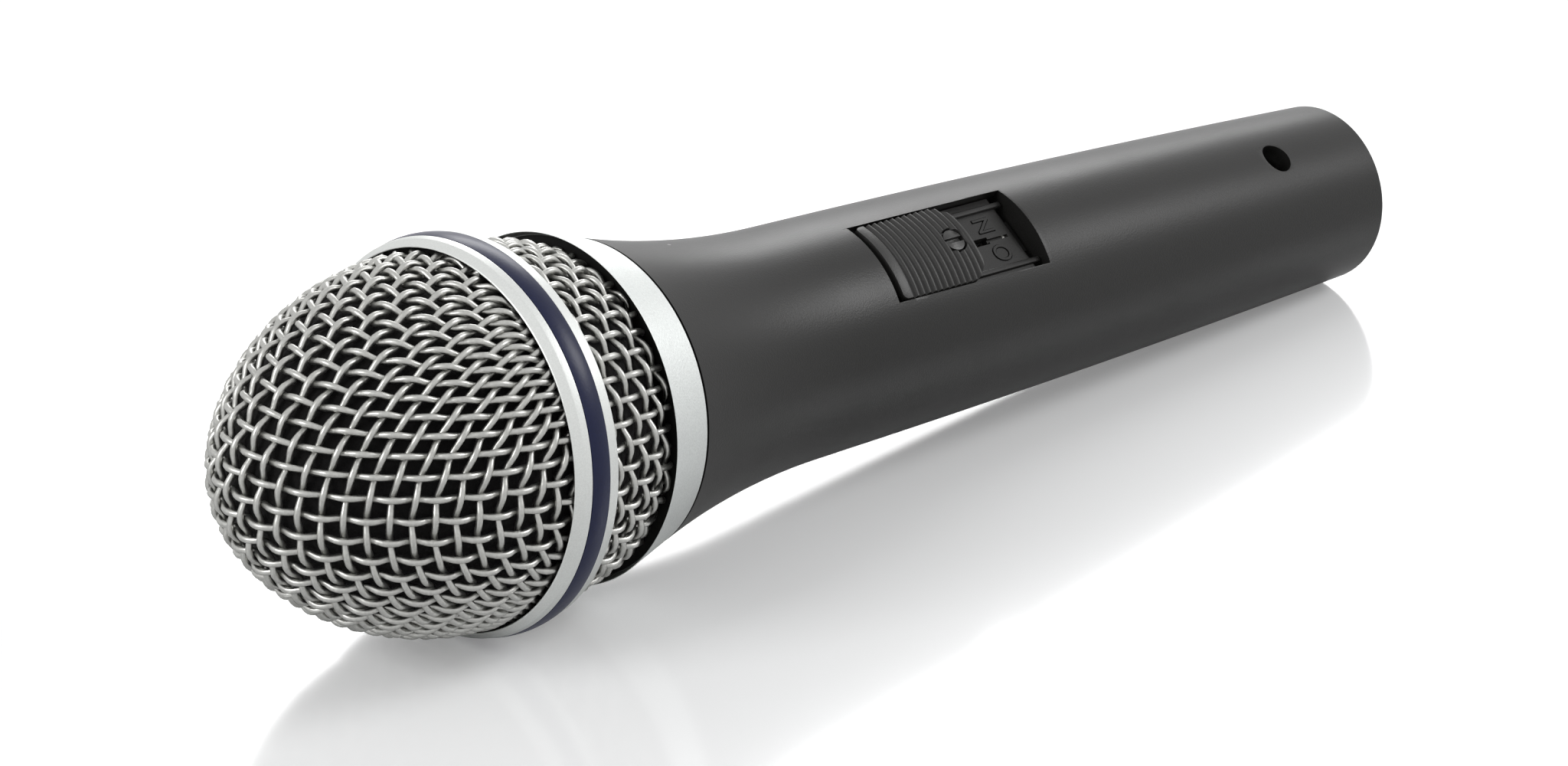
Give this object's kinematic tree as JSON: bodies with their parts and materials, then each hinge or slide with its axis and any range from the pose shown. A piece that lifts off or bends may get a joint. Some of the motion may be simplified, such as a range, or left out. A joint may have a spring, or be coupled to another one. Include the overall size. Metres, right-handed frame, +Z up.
{
  "type": "dynamic microphone",
  "caption": "Hand-held dynamic microphone with a woven wire grille that unscrews, a sliding on-off switch and a three-contact cable socket in its tail.",
  "frame": {"origin": "on the ground below the middle of the microphone as it lies on its side", "axes": "+X from the nose of the grille to the tail along the ground, -Y the side that the switch leans to, +Z up"},
  "size_m": [0.1998, 0.051, 0.0511],
  "materials": {
    "grille_wire": "satin nickel-plated wire",
    "satin_silver": "satin silver",
    "band_blue": "satin navy blue",
    "black_foam": "open-cell foam",
    "handle_black": "soft satin black enamel",
    "plain_alloy": "machined",
    "dark_plastic": "moulded",
    "clear_film": "thin polyester film",
    "copper": "enamelled copper wire",
    "soft_iron": "zinc-plated steel",
    "magnet_nickel": "nickel-plated magnet",
    "grey_felt": "felt",
    "board_brown": "laminate",
    "contact_gold": "plated contact",
    "black_rubber": "moulded rubber",
    "zinc_screw": "zinc-plated",
    "slider_grey": "ribbed, dark grey",
    "black_screw": "blackened",
    "white_plastic": "moulded",
    "lead_red": "insulated lead",
    "lead_yellow": "insulated lead"
  },
  "bodies": {
    "handle_body": {"capsule_housing": "dark_plastic", "capsule_lead_cold": "lead_yellow", "capsule_lead_hot": "lead_red", "capsule_lugs": "contact_gold", "circlip": "soft_iron", "connector_insert": "dark_plastic", "contact_pin_1": "contact_gold", "contact_pin_2": "contact_gold", "contact_pin_3": "contact_gold", "diaphragm": "clear_film", "frame_screws": "zinc_screw", "ground_tab": "contact_gold", "handle": "handle_black", "magnet": "magnet_nickel", "output_lead_cold": "lead_yellow", "output_lead_hot": "lead_red", "pole_plate": "soft_iron", "rear_chamber": "dark_plastic", "rear_felt": "grey_felt", "resonator_cap": "dark_plastic", "shock_mount": "black_rubber", "switch_body": "board_brown", "switch_frame": "soft_iron", "switch_terminals": "contact_gold", "switch_tray": "dark_plastic", "terminal_board": "board_brown", "thread_sleeve": "plain_alloy", "voice_coil": "copper", "yoke_cup": "soft_iron"},
    "grille_head": {"front_grille": "grille_wire", "rear_grille": "grille_wire", "grille_ring": "satin_silver", "colour_band": "band_blue", "collar": "satin_silver", "front_foam": "black_foam", "rear_foam": "black_foam"},
    "slider": {"switch_slider": "slider_grey", "switch_lever": "white_plastic", "bridge_contacts": "contact_gold"},
    "lock_screw": {"lock_screw": "black_screw"},
    "set_screw": {"set_screw": "zinc_screw"}
  },
  "joints": [
    {"name": "head_unscrew", "type": "hinge", "parent": "handle_body", "child": "grille_head", "pos_m": [-0.0447, 0, 0.02396], "axis": [-0.9967, 0, 0.0808], "range_deg": [0, 1080]},
    {"name": "switch_slide", "type": "slide", "parent": "handle_body", "child": "slider", "axis": [0.9967, 0, -0.0808], "range_m": [0, 0.0105]},
    {"name": "lock_screw_turn", "type": "hinge", "parent": "slider", "child": "lock_screw", "pos_m": [0.01481, -0.00888, 0.03163], "axis": [0.0658, -0.5807, 0.8115], "range_deg": [-135, 360]},
    {"name": "set_screw_turn", "type": "hinge", "parent": "handle_body", "child": "set_screw", "pos_m": [0.08063, -0.00569, 0.0218], "axis": [0.0658, -0.5807, 0.8115], "range_deg": [-1080, 0]}
  ]
}
